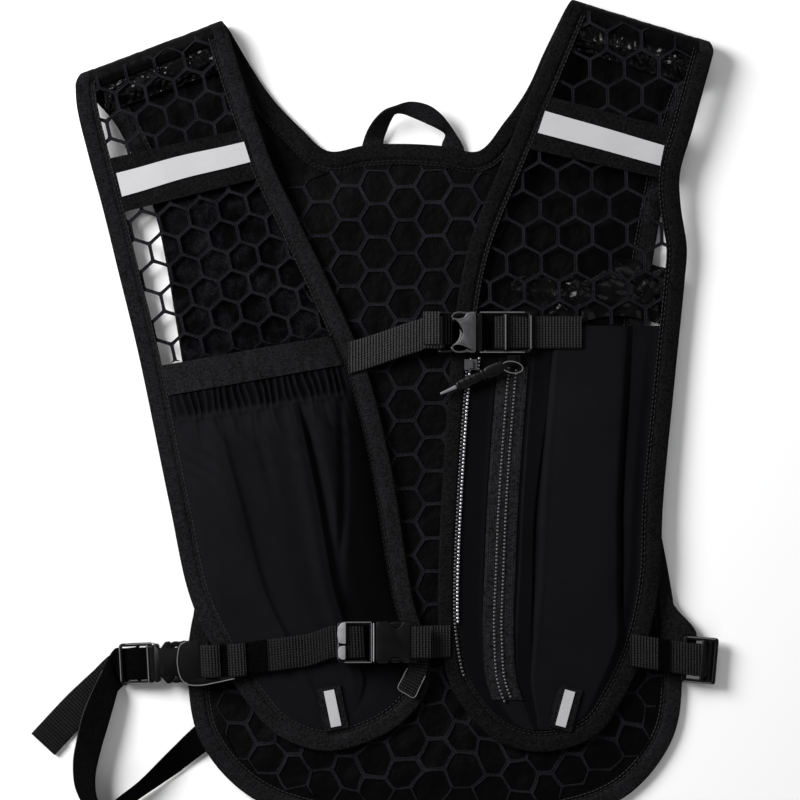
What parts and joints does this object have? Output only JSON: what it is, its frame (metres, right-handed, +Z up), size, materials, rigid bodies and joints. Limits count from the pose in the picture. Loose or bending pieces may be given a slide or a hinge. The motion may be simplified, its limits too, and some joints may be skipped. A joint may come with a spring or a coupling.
{
  "type": "running vest",
  "caption": "Black honeycomb-mesh running vest lying on its padded back, fronts folded over at the shoulders, with pockets, zips, webbing straps, side-release buckles and a grab loop.",
  "frame": {"origin": "on the flat underside of the padded back, in the middle of the vest's width, where it lies on the floor", "axes": "+Y towards the shoulders, +X to the right as it lies with its fronts up, +Z up from the floor"},
  "size_m": [0.4289, 0.5161, 0.0248],
  "materials": {
    "padding": "honeycomb spacer mesh over black padding",
    "net": "open honeycomb polyester net",
    "cloth": "thin stretch knit with a faint sheen",
    "tape": "ribbed binding tape with stitching",
    "webbing": "ribbed nylon webbing",
    "plastic": "moulded satin acetal",
    "zip_teeth": "glossy nylon coil",
    "zip_metal": "black enamelled zinc",
    "reflective": "light grey reflective tape"
  },
  "bodies": {
    "root": {"back_panel": "padding", "left_yoke": "net", "right_yoke": "net", "back_edge_binding": "tape", "neck_binding": "tape", "grab_loop": "webbing", "left_net": "net", "left_front_base": "cloth", "left_front_binding": "tape", "left_pocket": "cloth", "left_pocket_band": "webbing", "right_net": "net", "right_front_base": "cloth", "right_front_binding": "tape", "right_pocket": "cloth", "inner_zip_teeth": "zip_teeth", "inner_zip_slider": "zip_metal", "outer_zip_tape": "tape", "outer_zip_teeth": "zip_teeth", "outer_zip_slider": "zip_metal", "zip_pull": "plastic", "left_shoulder_tape": "tape", "left_shoulder_reflector": "reflective", "right_shoulder_tape": "tape", "right_shoulder_reflector": "reflective", "left_tab": "tape", "left_tab_reflector": "reflective", "right_tab": "tape", "right_tab_reflector": "reflective", "left_wing": "cloth", "right_wing": "cloth", "chest_strap_left": "webbing", "chest_strap_right": "webbing", "chest_buckle_socket": "plastic", "chest_buckle_plug": "plastic", "waist_strap_left": "webbing", "waist_strap_right": "webbing", "waist_strap_tail": "webbing", "waist_buckle_socket": "plastic", "waist_buckle_plug": "plastic", "side_buckle_socket": "plastic", "side_buckle_plug": "plastic", "side_strap_left": "webbing", "side_strap_left_tail": "webbing", "side_strap_right": "webbing", "side_slider_right": "plastic"}
  },
  "joints": []
}
